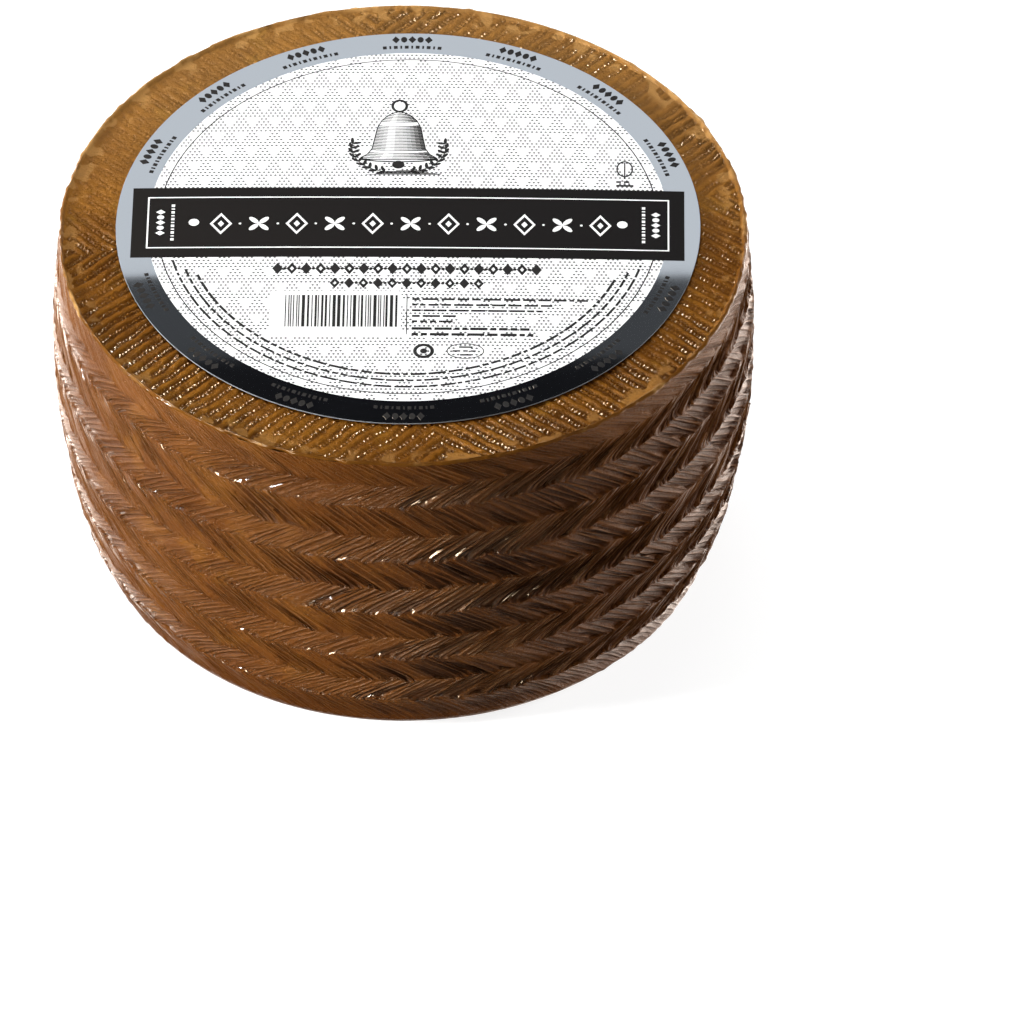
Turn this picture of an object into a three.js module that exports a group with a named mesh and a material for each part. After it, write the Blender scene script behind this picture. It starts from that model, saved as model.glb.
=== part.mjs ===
// Whole wheel of aged cheese: barrel-shaped side with the imprint of a plaited
// mould band, ridged top face inside a thin pressed lip, and a round label.
// Millimetres, +Z up, -Y towards the viewer. Origin: middle of the resting face.
import * as THREE from 'three';

// wheel
const wheelHeight = 107;      // to the top of the lip
const restingRadius = 76;     // flat face that the wheel stands on
const sideTopZ = 106.3;       // outer edge of the lip, where the rows start
const lipRadius = 91.3;

// plaited imprint on the side: rows of slanting bundles, one row leaning each way
const bundleCount = 60;
const bundleLean = 1.2;       // sideways run of a bundle over one row, in bundles
const leanCurve = 1.35;       // bundles start flat and end steeper
const grooveDepth = 1.15;     // between bundles, near the lower end of a row
const seamDepth = 0.35;       // where two rows meet
const levelsPerRow = 3;
// height of each row's upper edge, its radius, and how deep its imprint is
const rows = [
  { z: 106.3, radius: 92.5, strength: 0.45 },
  { z: 99.2, radius: 93.6, strength: 0.9 },
  { z: 91.8, radius: 94.3, strength: 1.0 },
  { z: 81.9, radius: 95.0, strength: 1.0 },
  { z: 72.7, radius: 95.2, strength: 1.0 },
  { z: 62.9, radius: 95.2, strength: 1.0 },
  { z: 53.5, radius: 94.9, strength: 1.0 },
  { z: 44.0, radius: 93.9, strength: 1.0 },
  { z: 35.0, radius: 92.7, strength: 1.0 },
  { z: 25.6, radius: 91.2, strength: 1.0 },
  { z: 16.2, radius: 88.9, strength: 0.8 },
];
const sideFoot = { z: 5.2, radius: 84.6 };
const footCurve = { z: 1.3, radius: 80 };   // roll-under to the resting face

// top face: four fields of straight ridges, square to the rim at mid field
const ridgePitch = 3.65;
const ridgeTopZ = 105.95;
const ridgeDepth = 0.85;
const underLabelZ = 105.6;
const ridgeInner = 78.5;
const ridgeOuter = 88.4;
const lipFootRadius = 90.2;
const fieldEdges = [11, 97.5, 184, 280];    // degrees, where two fields meet
const fieldAims = [45, 136, 224, 322];      // degrees, direction of the ridges

// label
const labelRadius = 78.6;
const labelThickness = 0.4;
const labelBottomZ = 106.3;
const labelCentre = { x: 1.3, y: 2.0 };
const labelSides = 144;

const turn = 2 * Math.PI;
const rad = (degrees) => (degrees * Math.PI) / 180;
const polar = (angle, radius, z) => new THREE.Vector3(radius * Math.cos(angle), radius * Math.sin(angle), z);
const even = (a, b) => {                    // repeatable unevenness, -1 to 1
  const s = Math.sin(a * 12.9898 + b * 78.233) * 43758.5453;
  return 2 * (s - Math.floor(s)) - 1;
};
// slow waviness, the same on opposite sides, so that the wheel stays centred
const wave = (angle, phase) => 0.6 * Math.sin(2 * angle + phase) + 0.4 * Math.sin(6 * angle + 2 * phase);

// Closed skin made of rings of points, joined from the top middle to the bottom middle.
const points = [];
const faces = [];
const addRing = (list) => list.map((p) => points.push(p) - 1);

// same number of points in both rings: two triangles a step, along the shorter diagonal
function joinEqual(upper, lower) {
  const n = upper.length;
  for (let i = 0; i < n; i++) {
    const a = upper[i], b = upper[(i + 1) % n], c = lower[i], d = lower[(i + 1) % n];
    if (points[a].distanceTo(points[d]) <= points[b].distanceTo(points[c])) faces.push([a, c, d], [a, d, b]);
    else faces.push([a, c, b], [b, c, d]);
  }
}

// different numbers of points: walk round both rings and always take the shorter step
function joinUneven(upper, lower) {
  const n = upper.length, m = lower.length;
  let start = 0;
  for (let j = 1; j < m; j++) {
    const here = points[upper[0]];
    if (points[lower[j]].distanceTo(here) < points[lower[start]].distanceTo(here)) start = j;
  }
  let i = 0, j = 0;
  while (i < n || j < m) {
    const a = upper[i % n], c = lower[(start + j) % m];
    const b = upper[(i + 1) % n], d = lower[(start + j + 1) % m];
    const stepUpper = j >= m || (i < n && points[b].distanceTo(points[c]) < points[a].distanceTo(points[d]));
    if (stepUpper) { faces.push([a, c, b]); i++; } else { faces.push([a, c, d]); j++; }
  }
}

function closeRing(ring, centre, facingUp) {
  const hub = points.push(centre) - 1;
  ring.forEach((a, i) => {
    const b = ring[(i + 1) % ring.length];
    faces.push(facingUp ? [hub, a, b] : [hub, b, a]);
  });
}

// Top face: each field holds straight lines at the ridge pitch, two for each ridge (crest and
// hollow). Near a field's edge they bend to the radial, so that two fields meet.
function ridgeLines() {
  const lines = [];
  const middle = (ridgeInner + ridgeOuter) / 2;
  fieldAims.forEach((aim, f) => {
    const from = fieldEdges[f];
    const to = f < 3 ? fieldEdges[f + 1] : fieldEdges[0] + 360;
    const low = middle * Math.sin(rad(from - aim));
    const high = middle * Math.sin(rad(to - aim));
    const count = 2 * Math.round((high - low) / ridgePitch);
    for (let i = 0; i < count; i++) {
      const share = (i + 0.5) / count;
      const offset = low + (high - low) * share;
      const bend = 1 - Math.pow(Math.abs(2 * share - 1), 5);
      lines.push({ aim: rad(aim), offset, bend, crest: i % 2 === 0, middle });
    }
  });
  return lines;
}

const lines = ridgeLines();
const faceRing = (radius, height) => addRing(lines.map((line, i) => {
  const straight = Math.asin(line.offset / radius);
  const radial = Math.asin(line.offset / line.middle);
  const angle = line.aim + radial + (straight - radial) * line.bend;
  return polar(angle, radius, height(line, i));
}));
const hollowZ = (line, i) => ridgeTopZ - (line.crest ? 0.08 * (1 + even(i, 3)) : ridgeDepth * (0.85 + 0.15 * even(i, 5)));

const labelSeat = faceRing(76, () => underLabelZ);
const ridgesIn = faceRing(ridgeInner, hollowZ);
const ridgesOut = faceRing(ridgeOuter, hollowZ);
const lipFoot = faceRing(lipFootRadius, (line, i) => 105.75 + 0.1 * even(i, 7));
closeRing(labelSeat, new THREE.Vector3(0, 0, underLabelZ), true);
joinEqual(labelSeat, ridgesIn);
joinEqual(ridgesIn, ridgesOut);
joinEqual(ridgesOut, lipFoot);

// Side
const sideCurve = new THREE.SplineCurve([...rows, sideFoot].map((p) => new THREE.Vector2(p.radius, p.z)));
const columns = 2 * bundleCount;

// sideways place of a bundle, in bundles, a share t down its row
function sway(row, t) {
  const run = 1 - Math.pow(1 - t, leanCurve);
  return bundleLean * (row % 2 === 0 ? run : 1 - run);
}

function sideRing(row, t) {
  const at = sideCurve.getPoint((row + t) / rows.length);
  const strength = rows[row].strength;
  const list = [];
  for (let i = 0; i < columns; i++) {
    const angle = (turn * (i / 2 + sway(row, t))) / bundleCount;
    const crest = (i + row) % 2 === 0;
    const own = 1 + 0.18 * even(Math.floor(i / 2), row);
    let sink = seamDepth * (1 - Math.min(1, 2.4 * t));
    sink += crest ? 0.18 * t : grooveDepth * own * Math.min(1, 1.45 * t);
    const round = 0.25 * wave(angle, row * 0.3) - 0.25;
    list.push(polar(angle, at.x - sink * strength + round, at.y));
  }
  return addRing(list);
}

const lip = [];
for (let i = 0; i < columns; i++) {
  const angle = (turn * (i / 2 + sway(0, 0))) / bundleCount;
  const drop = 0.16 + 0.16 * wave(angle, 1.1);
  lip.push(polar(angle, lipRadius + 0.2 * wave(angle, 2.3), wheelHeight - drop));
}
const lipTop = addRing(lip);
joinUneven(lipFoot, lipTop);

let above = lipTop;
for (let row = 0; row < rows.length; row++) {
  for (let level = 0; level < levelsPerRow; level++) {
    const ring = sideRing(row, level / levelsPerRow);
    joinEqual(above, ring);
    above = ring;
  }
}

// Roll-under and resting face
const plainRing = (radius, z) => {
  const list = [];
  for (let i = 0; i < columns; i++) {
    list.push(polar((turn * (i / 2 + sway(rows.length - 1, 1))) / bundleCount, radius, z));
  }
  return addRing(list);
};
for (const ring of [plainRing(sideFoot.radius, sideFoot.z), plainRing(footCurve.radius, footCurve.z), plainRing(restingRadius, 0)]) {
  joinEqual(above, ring);
  above = ring;
}
closeRing(above, new THREE.Vector3(0, 0, 0), false);

const skin = new THREE.BufferGeometry();
skin.setAttribute('position', new THREE.Float32BufferAttribute(points.flatMap((p) => [p.x, p.y, p.z]), 3));
skin.setIndex(faces.flat());
skin.computeVertexNormals();
const wheel = new THREE.Mesh(skin, new THREE.MeshStandardMaterial({ color: 0x7a4a22, roughness: 0.45 }));
wheel.name = 'wheel';

// Label: one thin flat disc on the ridges
const disc = new THREE.CylinderGeometry(labelRadius, labelRadius, labelThickness, labelSides);
disc.rotateX(Math.PI / 2);
disc.translate(labelCentre.x, labelCentre.y, labelBottomZ + labelThickness / 2);
const label = new THREE.Mesh(disc, new THREE.MeshStandardMaterial({ color: 0xe6e8ea, roughness: 0.4 }));
label.name = 'label';

const part = new THREE.Group();
part.name = 'cheese_wheel';
part.add(wheel, label);
export default part;
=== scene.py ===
from math import cos, pi, radians, sin

import bmesh
import bpy
import numpy as np
from mathutils import Matrix, Vector


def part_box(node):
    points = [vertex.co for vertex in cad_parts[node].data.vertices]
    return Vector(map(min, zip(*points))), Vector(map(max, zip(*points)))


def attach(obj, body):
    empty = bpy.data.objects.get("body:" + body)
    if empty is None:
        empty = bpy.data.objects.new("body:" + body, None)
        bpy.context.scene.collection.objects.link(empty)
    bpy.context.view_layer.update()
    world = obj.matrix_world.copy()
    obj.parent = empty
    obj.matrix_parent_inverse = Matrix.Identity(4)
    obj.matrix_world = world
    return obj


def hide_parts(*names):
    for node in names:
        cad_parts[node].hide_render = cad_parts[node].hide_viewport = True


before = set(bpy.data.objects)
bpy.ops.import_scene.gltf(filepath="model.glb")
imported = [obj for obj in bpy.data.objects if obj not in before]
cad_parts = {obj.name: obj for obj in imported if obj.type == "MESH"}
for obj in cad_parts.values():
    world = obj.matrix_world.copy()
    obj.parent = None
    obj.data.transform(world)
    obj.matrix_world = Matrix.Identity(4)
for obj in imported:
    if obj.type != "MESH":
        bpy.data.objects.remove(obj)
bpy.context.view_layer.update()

mm = 0.001
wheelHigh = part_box("wheel")[1]
labelLow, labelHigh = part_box("label")
wheelHeight = wheelHigh.z / mm
labelRadius = (labelHigh.x - labelLow.x) / 2 / mm
labelCentre = ((labelHigh.x + labelLow.x) / 2, (labelHigh.y + labelLow.y) / 2)
print("frame loaded, wheel", round(wheelHeight, 1), "mm high")


# Shared helpers

def smooth(x, low, high):
    s = np.clip((x - low) / (high - low), 0.0, 1.0)
    return s * s * (3 - 2 * s)


# repeatable unevenness from 0 to 1 for whole numbers
def uneven(a, b=0.0):
    s = np.sin(np.asarray(a) * 12.9898 + np.asarray(b) * 78.233) * 43758.5453
    return s - np.floor(s)


# the same slow waviness as in the solids, equal on opposite sides
def waviness(angle, phase):
    return 0.6 * np.sin(2 * angle + phase) + 0.4 * np.sin(6 * angle + 2 * phase)


# soft lumps from -1 to 1 over points given in mm, size apart; more depth adds finer lumps
def lumps(points, size, seed=0.0, depth=1):
    total, share = 0.0, 1.0
    for octave in range(depth):
        p = points / size * 2 ** octave + (seed, 2.3 * seed, -1.7 * seed)
        cell = np.floor(p)
        into = p - cell
        into = into * into * (3 - 2 * into)
        value = 0.0
        for corner in range(8):
            step = np.array([corner & 1, corner >> 1 & 1, corner >> 2])
            near = np.prod(np.where(step, into, 1 - into), axis=1)
            value = value + near * uneven((cell + step) @ (1.0, 5.7, 13.9), octave)
        total = total + share * (3.0 * value - 1.5)
        share = share / 2
    return total


# smooth curve through knots (each a tuple), read at a list of places: 0 is the first knot
def throughKnots(knots, places):
    k = np.array(knots, float)
    k = np.vstack([2 * k[0] - k[1], k, 2 * k[-1] - k[-2]])
    out = []
    for place in places:
        i = min(int(place), len(knots) - 2)
        f = place - i
        a, b, c, d = k[i], k[i + 1], k[i + 2], k[i + 3]
        out.append(b + 0.5 * f * (c - a + f * (2 * a - 5 * b + 4 * c - d + f * (3 * (b - c) + d - a))))
    return np.array(out)


# spins a chain of (radius, height, run) in mm into a closed skin: one sector is spun in small
# steps, then copied round; run is kept on every point
def spinSkin(chain, steps, sectors):
    bm = bmesh.new()
    run = bm.verts.layers.float.new("run")
    verts = []
    for radius, height, place in chain:
        v = bm.verts.new((radius * mm, 0, height * mm))
        v[run] = place
        verts.append(v)
    edges = [bm.edges.new(pair) for pair in zip(verts, verts[1:])]
    sector = 2 * pi / sectors
    bmesh.ops.spin(bm, geom=verts + edges, cent=(0, 0, 0), axis=(0, 0, 1), angle=sector,
                   steps=steps // sectors)
    bmesh.ops.spin(bm, geom=bm.verts[:] + bm.edges[:] + bm.faces[:], cent=(0, 0, 0), axis=(0, 0, 1),
                   angle=2 * pi - sector, steps=sectors - 1, use_duplicate=True)
    bmesh.ops.remove_doubles(bm, verts=bm.verts, dist=1e-6)
    # an end of the chain that isn't on the axis leaves a hole, closed by one flat face
    for radius, height, place in (chain[0], chain[-1]):
        if radius > 0:
            rim = [e for e in bm.edges if e.is_boundary and abs(e.verts[0].co.z - height * mm) < 1e-7]
            bmesh.ops.edgeloop_fill(bm, edges=rim)
    bmesh.ops.recalc_face_normals(bm, faces=bm.faces)
    return bm


def finishPiece(bm, name, material):
    mesh = bpy.data.meshes.new(name)
    bm.to_mesh(mesh)
    bm.free()
    mesh.shade_smooth()
    piece = bpy.data.objects.new(name, mesh)
    bpy.context.scene.collection.objects.link(piece)
    mesh.materials.append(material)
    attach(piece, "root")
    return piece


def readPoints(mesh):
    flat = np.empty(len(mesh.vertices) * 3)
    mesh.vertices.foreach_get("co", flat)
    return flat.reshape(-1, 3) / mm


def writePoints(mesh, points):
    mesh.vertices.foreach_set("co", (points * mm).ravel())
    mesh.update()


def readRun(mesh):
    run = np.empty(len(mesh.vertices))
    mesh.attributes["run"].data.foreach_get("value", run)
    return run


def addAttribute(mesh, name, values):
    layer = mesh.attributes.new(name, "FLOAT", "POINT")
    layer.data.foreach_set("value", values.astype(np.float32))


# one socket in a material: Python sums on it add Math nodes
class Wire:
    def __init__(self, finish, socket):
        self.finish = finish
        self.socket = socket

    def sum(self, operation, *values):
        return self.finish.node("Math", {"operation": operation}, dict(enumerate(values)))

    def __add__(self, other):
        return self.sum("ADD", self, other)

    def __radd__(self, other):
        return self.sum("ADD", other, self)

    def __sub__(self, other):
        return self.sum("SUBTRACT", self, other)

    def __rsub__(self, other):
        return self.sum("SUBTRACT", other, self)

    def __mul__(self, other):
        return self.sum("MULTIPLY", self, other)

    def __rmul__(self, other):
        return self.sum("MULTIPLY", other, self)

    def __truediv__(self, other):
        return self.sum("DIVIDE", self, other)

    def __pow__(self, other):
        return self.sum("POWER", self, other)

    def __abs__(self):
        return self.sum("ABSOLUTE", self)

    def cosine(self):
        return self.sum("COSINE", self)

    def floor(self):
        return self.sum("FLOOR", self)

    def modulo(self, other):
        return self.sum("FLOORED_MODULO", self, other)

    def above(self, other):
        return self.sum("GREATER_THAN", self, other)

    def below(self, other):
        return self.sum("LESS_THAN", self, other)


# node tree of a material or of the world under construction
class Finish:
    def __init__(self, owner):
        self.owner = owner
        owner.use_nodes = True
        self.tree = owner.node_tree
        self.tree.nodes.clear()

    def node(self, kind, settings=None, sockets=None, out=0):
        made = self.tree.nodes.new("ShaderNode" + kind)
        for key, value in (settings or {}).items():
            setattr(made, key, value)
        for key, value in (sockets or {}).items():
            if isinstance(value, Wire):
                self.tree.links.new(value.socket, made.inputs[key])
            elif isinstance(value, tuple) and len(value) == 3 and len(made.inputs[key].default_value) == 4:
                made.inputs[key].default_value = (*value, 1)
            else:
                made.inputs[key].default_value = value
        return Wire(self, made.outputs[out]) if made.outputs else None

    # place on the piece in metres, in the object's own frame
    def objectPlace(self):
        return self.node("TexCoord", None, None, out=3)

    # one number of a vector: 0 is x, 1 is y, 2 is z
    def axis(self, vector, number):
        return self.node("SeparateXYZ", None, {0: vector}, out=number)

    def flatVector(self, x, y):
        return self.node("CombineXYZ", None, {0: x, 1: y, 2: 0.0})

    def attribute(self, name):
        return self.node("Attribute", {"attribute_name": name}, None, out=2)

    def mix(self, factor, one, other):
        return self.node("Mix", {"data_type": "RGBA"}, {0: factor, 6: one, 7: other}, out=2)

    def ease(self, value, low, high):
        return self.node("MapRange", {"interpolation_type": "SMOOTHSTEP"},
                         {"Value": value, "From Min": low, "From Max": high})

    def speckle(self, place, scale, detail=2.0, roughness=0.5):
        return self.node("TexNoise", None, {"Vector": place, "Scale": scale, "Detail": detail,
                                            "Roughness": roughness})

    def bump(self, strength, distance, height):
        return self.node("Bump", None, {"Strength": strength, "Distance": distance, "Height": height})

    def close(self, **sockets):
        named = {key.replace("_", " "): value for key, value in sockets.items()}
        shader = self.node("BsdfPrincipled", None, named)
        self.node("OutputMaterial", None, {"Surface": shader})
        return self.owner


# Camera: long lens from the front, looking down on the wheel

view = {
    "lens": 390, "sensor": 36, "distance": 2981,      # mm
    "farthest": 20,       # metres
    "elevation": 43.3,    # degrees
    "frame": 1024,        # pixels, both ways
    "topMiddleX": 403.2, "topMiddleY": 228.9,         # pixel where the middle of the top face shows
}


def placeCamera():
    camera = bpy.data.objects.new("camera", bpy.data.cameras.new("camera"))
    bpy.context.scene.collection.objects.link(camera)
    camera.data.lens = view["lens"]
    camera.data.sensor_width = view["sensor"]
    camera.data.clip_end = view["farthest"]
    slope = radians(view["elevation"])
    ahead = Vector((0, cos(slope), -sin(slope)))
    side = Vector((1, 0, 0))
    upward = side.cross(ahead)
    perPixel = view["distance"] * mm * view["sensor"] / view["lens"] / view["frame"]
    shiftX = (view["topMiddleX"] - view["frame"] / 2) * perPixel
    shiftY = -(view["topMiddleY"] - view["frame"] / 2) * perPixel
    aim = Vector((0, 0, wheelHigh.z))
    camera.location = aim - ahead * view["distance"] * mm - side * shiftX - upward * shiftY
    camera.rotation_mode = "QUATERNION"
    camera.rotation_quaternion = ahead.to_track_quat("-Z", "Y")
    bpy.context.scene.camera = camera


print("camera")
placeCamera()


# Rind of the side: imprint of a plaited band

plait = {
    "bundles": 60,
    "columns": 20,        # to a bundle
    "sectors": 20,        # equal parts in which the skin is spun
    "fewStrands": 4, "manyStrands": 5,
    "levels": (0, 0.07, 0.3, 0.6, 0.85, 0.955),     # places down a row where the skin has points
    "lean": 1.2,          # sideways run of a strand over one row, in bundles
    "fallingCurve": 1.0, "risingCurve": 1.12,     # strands start flat and end steeper
    "edgeLean": 0.95,     # the same for the edge of a whole bundle
    "strandDepth": 0.9,
    "stepDepth": 1.1,     # from the top edge of a bundle down to the next one
    "ledgeDepth": 0.6,    # lower end of a row behind the top of the next row
    "scallop": 0.55,      # rise of a row's edge over the middle of a bundle, mm
    "strongest": -35,     # degrees, side on which the imprint is deepest
    "leastDeep": 0.32,    # share of the steps' depth that is left on the other side
    "patchSize": 24, "wornSize": 6,       # patches of weaker imprint, and spots with no strands, mm
    "fineSize": 1.7, "fineHigh": 0.13,    # small lumps of the wax
    "fadeOut": 0.35,      # the imprint ends in this last share of the lowest row
    "sharpFrom": 55,      # degrees between faces
    # hidden part under the top rind, and roll-under to the resting face: radius, height, run
    "tuck": ((80, 104.6, -1), (89.5, 104.6, -0.6), (91.6, 105.3, -0.2)),
    "foot": ((83.1, 3.4, 11.2), (81.6, 2.1, 11.4), (79.8, 1.0, 11.6), (77.8, 0.3, 11.8), (76, 0, 12),
             (75.2, 0.9, 13)),
}
# height, radius and strength of the imprint at each row's upper edge, top row first
plaitRows = [
    (105.9, 92.4, 0.45), (99.2, 93.6, 0.9), (91.8, 94.3, 1.0), (81.9, 95.0, 1.0),
    (72.7, 95.2, 1.0), (62.9, 95.2, 1.0), (53.5, 94.9, 1.0), (44.0, 93.9, 1.0),
    (35.0, 92.7, 1.0), (25.6, 91.2, 1.0), (16.2, 88.9, 0.8), (5.2, 84.6, 0.0),
]
rowCount = len(plaitRows) - 1


# every second row leans the other way
def isRising(row):
    return row % 2 == 1


# sideways run of a strand in its own row, from 0 at the top to 1
def runOf(row, t):
    return 1 - (1 - t) ** np.where(isRising(row), plait["risingCurve"], plait["fallingCurve"])


# sideways place of the skin's points in the row, in bundles
def swayOf(row, t):
    run = runOf(row, t)
    return plait["lean"] * np.where(isRising(row), 1 - run, run)


# place across the strands of a row, and across its bundles: whole numbers are the bundles' lower edges
def bundlePlace(strandPlace, row, t):
    own = np.where(isRising(row), -strandPlace - plait["lean"], strandPlace)
    across = own + plait["lean"] * runOf(row, t)
    turned = 2 * pi * strandPlace / plait["bundles"]
    uneasy = 0.17 * np.sin(17 * turned + 1.7 * row) + 0.15 * np.sin(9 * turned - 2.3 * row)
    return own, across - plait["edgeLean"] * runOf(row, t) - uneven(row, 8.8) + uneasy


# number of strands in a bundle: more of them in the rising rows
def strandsIn(bundle, row):
    many = uneven(bundle, row + 0.25) < np.where(isRising(row), 0.75, 0.3)
    return np.where(many, plait["manyStrands"], plait["fewStrands"])


# keeps the strands of a bundle out of step with those of the next row
def strandShift(bundle, row):
    return uneven(bundle, 3.3 * row + 1.1)


# depth in mm of the imprint, how hollow the place is, and how clear its strands are
def plaitRelief(strandPlace, run, patchy, worn):
    row = np.clip(np.floor(run), 0, rowCount - 1)
    t = np.clip(run - row, 0, 1)
    own, cell = bundlePlace(strandPlace, row, t)
    bundle = np.mod(np.floor(cell), plait["bundles"])
    inBundle = cell - np.floor(cell)
    liveliness = 0.8 + 0.35 * uneven(bundle, row)
    vigour = liveliness * patchy
    clear = liveliness * (0.25 + 0.75 * patchy) * (1 - worn)
    strand = own * strandsIn(bundle, row) + strandShift(bundle, row)
    offRidge = 2 * np.abs(strand - np.round(strand))                     # 1 between two strands
    thread = uneven(np.round(strand), row + 0.5)
    plain = smooth(t, 0.5, 0.85) * (1 - smooth(inBundle, 0.12, 0.4))     # smooth corner of a bundle
    start = smooth(t - 0.12 * thread, -0.03, 0.08)
    end = 1 - smooth(t + 0.14 * (1 - thread), 0.9, 1.04)
    ribbed = (0.55 + 0.6 * thread) * start * end * (1 - 0.85 * plain)
    grooves = np.sqrt(np.clip(offRidge * (2 - offRidge), 0, 1)) * ribbed
    step = (1 - inBundle) ** 1.3 * smooth(inBundle, 0.0, 0.07) * (0.3 + 0.7 * smooth(t, 0.0, 0.75))
    ledge = plait["ledgeDepth"] * (0.6 + 0.4 * patchy) * t ** 1.6
    rounded = 0.25 * (1 - smooth(t, 0.0, 0.22))
    strength = np.array([r[2] for r in plaitRows])[row.astype(int)]
    depth = clear * plait["strandDepth"] * grooves + vigour * plait["stepDepth"] * step + ledge + rounded
    hollow = np.clip(strength * vigour * (0.9 * step + 0.4 * grooves + 0.35 * t ** 4), 0, 1)
    ribbed = np.clip(strength * clear * (0.6 + 0.6 * thread) * (1 - 0.8 * plain), 0, 1)
    return strength * depth, hollow, ribbed


# rise or fall in mm of the edge under so many rows: scalloped by the bundles, straight at both ends
def seamShift(strandPlace, edge):
    cell = bundlePlace(strandPlace, edge, 0.0)[1]
    inner = smooth(edge, 0, 1) * (1 - smooth(edge, rowCount - 1, rowCount))
    rise = plait["scallop"] * (0.6 + 0.6 * uneven(np.floor(cell), edge)) * inner
    return -rise * np.cos(2 * pi * (cell - 0.12))


# the plait's own map: strands round the wheel, counted within each bundle, and rows down it
def layPlaitMap(mesh, strandPlace, run):
    corner = np.empty(len(mesh.loops), int)
    mesh.loops.foreach_get("vertex_index", corner)
    starts = np.empty(len(mesh.polygons), int)
    mesh.polygons.foreach_get("loop_start", starts)
    counts = np.empty(len(mesh.polygons), int)
    mesh.polygons.foreach_get("loop_total", counts)
    u, v = strandPlace[corner], run[corner]
    # a face across the place where the pattern closes keeps its corners together
    widest = np.repeat(np.maximum.reduceat(u, starts), counts)
    u = np.where(widest - u > plait["bundles"] / 2, u + plait["bundles"], u)
    faceU = np.add.reduceat(u, starts) / counts
    faceV = np.add.reduceat(v, starts) / counts
    row = np.clip(np.floor(faceV), 0, rowCount - 1)
    cell = bundlePlace(faceU, row, np.clip(faceV - row, 0, 1))[1]
    bundle = np.mod(np.floor(cell), plait["bundles"])
    strands = strandsIn(bundle, row)
    turned = np.repeat(np.where(isRising(row), -strands, strands), counts)
    shift = np.where(isRising(row), -strands * plait["lean"], 0) + strandShift(bundle, row)
    u = u * turned + np.repeat(shift, counts)
    layer = mesh.uv_layers.new(name="plait")
    layer.uv.foreach_set("vector", np.column_stack([u, v]).astype(np.float32).ravel())
    mesh.update()


def makeSide(material):
    levels = [row + t for row in range(rowCount) for t in plait["levels"]] + [rowCount]
    sideCurve = throughKnots([(radius, height) for height, radius, strength in plaitRows], levels)
    chain = [*plait["tuck"], *((*place, level) for place, level in zip(sideCurve, levels)), *plait["foot"]]
    bm = spinSkin(chain, plait["bundles"] * plait["columns"], plait["sectors"])
    piece = finishPiece(bm, "rind_side", material)
    mesh = piece.data
    points = readPoints(mesh)
    run = readRun(mesh)
    radius = np.hypot(points[:, 0], points[:, 1])
    angle = np.mod(np.arctan2(points[:, 1], points[:, 0]) - pi / 2, 2 * pi)      # 0 at the back
    strandPlace = angle * plait["bundles"] / (2 * pi)
    onSide = (run >= 0) & (run <= rowCount)
    row = np.clip(np.floor(run), 0, rowCount - 1)
    t = np.clip(run - row, 0, 1)
    newAngle = angle + pi / 2 + swayOf(row, t) * 2 * pi / plait["bundles"]
    facing = np.cos(newAngle - radians(plait["strongest"]))
    uneasy = 0.3 * lumps(points, plait["patchSize"], 5.0, 2)
    patchy = plait["leastDeep"] + (1 - plait["leastDeep"]) * smooth(uneasy + facing, 0.25, 0.85)
    worn = smooth(lumps(points, plait["wornSize"], 51.0, 2), 0.0, 0.4)
    worn = worn * (0.85 - 0.35 * smooth(facing, 0.3, 0.9))
    depth, hollow, ribbed = plaitRelief(strandPlace, run, patchy, worn)
    fade = np.where(onSide, 1 - smooth(run, rowCount - plait["fadeOut"], rowCount), 0)
    wander = 0.25 * waviness(newAngle, 0.3 * row) - 0.25
    fine = plait["fineHigh"] * lumps(points, plait["fineSize"], 3.0, 2)
    radius = radius + np.where(onSide, wander - depth * fade + fine, 0)
    moved = np.column_stack([radius * np.cos(newAngle), radius * np.sin(newAngle), points[:, 2]])
    edge = np.floor(np.clip(run, 0, rowCount))
    share = smooth(run - edge, 0, 1)
    moved[:, 2] += seamShift(strandPlace, edge) * (1 - share) + seamShift(strandPlace, edge + 1) * share
    writePoints(mesh, moved)
    # the finish paints shade from hollow, and from ribbed both shade in the grooves and highlights on the
    # ridges
    addAttribute(mesh, "hollow", hollow * fade)
    addAttribute(mesh, "ribbed", ribbed * fade)
    layPlaitMap(mesh, strandPlace, run)
    mesh.set_sharp_from_angle(angle=radians(plait["sharpFrom"]))
    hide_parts("wheel")


sideColours = {
    "body": (0.110, 0.0340, 0.0050),
    "warm": (0.147, 0.0495, 0.0078),
    # amber patches, painted on the lit left side only as a warm glow
    "amber": (0.176, 0.0640, 0.0078),
    # dark patches and fibres of the wax, and painted shade towards the foot
    "deep": (0.064, 0.0178, 0.0026),
    # painted shade in hollows, grooves and row ends, partly dark wax in the grooves
    "groove": (0.027, 0.0062, 0.0010),
    # painted highlight on the strand ridges
    "ridge": (0.200, 0.096, 0.042),
    "smear": (0.200, 0.115, 0.060),
    "shine": (1.0, 0.82, 0.64),
}


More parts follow.
